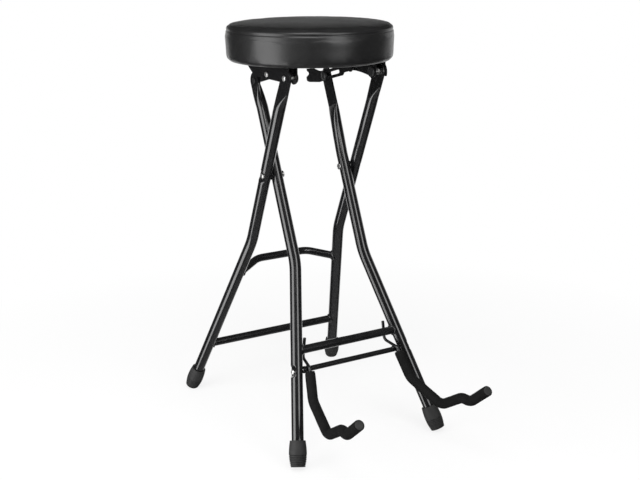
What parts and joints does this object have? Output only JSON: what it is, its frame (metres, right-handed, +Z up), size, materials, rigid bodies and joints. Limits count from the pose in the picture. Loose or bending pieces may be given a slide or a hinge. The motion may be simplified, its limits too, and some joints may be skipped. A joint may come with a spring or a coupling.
{
  "type": "guitar stool",
  "caption": "Folding round-seat musician's stool on crossed tube frames, with a seat that tips up as they close and a swing-out padded instrument cradle.",
  "frame": {"origin": "on the floor, midway between the front and rear ends and on the plane of symmetry", "axes": "+Z up, +X to the left for someone who sits facing -Y; the cradle points towards -Y"},
  "size_m": [0.3676, 0.6154, 0.7643],
  "materials": {
    "black_tube": "semi-gloss black powder coat",
    "black_wire": "semi-gloss black paint",
    "zinc_steel": "bright zinc plating",
    "black_rubber": "matt moulded rubber",
    "black_plastic": "satin black",
    "black_foam": "matt closed-cell foam",
    "black_vinyl": "soft satin vinyl",
    "cushion_foam": "open-cell foam",
    "seat_board": "dark stained plywood"
  },
  "bodies": {
    "seat": {"bracket_left": "black_tube", "bracket_right": "black_tube", "bracket_screw_left_1": "zinc_steel", "bracket_screw_left_2": "zinc_steel", "bracket_screw_right_1": "zinc_steel", "bracket_screw_right_2": "zinc_steel", "front_cap_left": "black_plastic", "front_cap_right": "black_plastic", "front_nut_left": "zinc_steel", "front_nut_right": "zinc_steel", "front_pin_left": "zinc_steel", "front_pin_right": "zinc_steel", "link_pin_left": "zinc_steel", "link_pin_right": "zinc_steel", "seat_board": "seat_board", "seat_cover": "black_vinyl", "seat_foam": "cushion_foam"},
    "cradle": {"cradle_arm_left": "black_wire", "cradle_arm_right": "black_wire", "cradle_rod": "black_tube", "foam_sleeve_left": "black_foam", "foam_sleeve_right": "black_foam", "rod_collar_left": "black_tube", "rod_collar_right": "black_tube"},
    "outer_frame": {"cross_bolt_left": "zinc_steel", "cross_bolt_right": "zinc_steel", "cross_nut_left": "zinc_steel", "cross_nut_right": "zinc_steel", "cross_washer_left": "black_plastic", "cross_washer_right": "black_plastic", "foot_rear_left": "black_rubber", "foot_rear_right": "black_rubber", "outer_leg_left": "black_tube", "outer_leg_right": "black_tube", "rear_lower_bar": "black_tube", "rear_upper_bar": "black_tube"},
    "inner_frame": {"foot_front_left": "black_rubber", "foot_front_right": "black_rubber", "front_bar": "black_tube", "inner_leg_left": "black_tube", "inner_leg_right": "black_tube", "link_rivet_left": "black_plastic", "link_rivet_right": "black_plastic", "rod_screw_left": "zinc_steel", "rod_screw_right": "zinc_steel"},
    "lock_links": {"lock_link_left": "black_tube", "lock_link_right": "black_tube"}
  },
  "joints": [
    {"name": "fold", "type": "hinge", "parent": "outer_frame", "child": "inner_frame", "pos_m": [0, 0.0802, 0.48771], "axis": [1, 0, 0], "range_deg": [0, 42]},
    {"name": "seat_tilt", "type": "hinge", "parent": "outer_frame", "child": "seat", "pos_m": [0, -0.00405, 0.67657], "axis": [1, 0, 0], "range_deg": [0, 117.6]},
    {"name": "link_swing", "type": "hinge", "parent": "inner_frame", "child": "lock_links", "pos_m": [0, 0.15414, 0.65347], "axis": [1, 0, 0], "range_deg": [-79.8, 0]},
    {"name": "cradle_swing", "type": "hinge", "parent": "inner_frame", "child": "cradle", "pos_m": [0, -0.06773, 0.15611], "axis": [-1, 0, 0], "range_deg": [0, 72]}
  ],
  "couplings": [
    {"joint": "seat_tilt", "follows": "fold", "ratio": 2.7976},
    {"joint": "link_swing", "follows": "fold", "ratio": -1.8976}
  ]
}
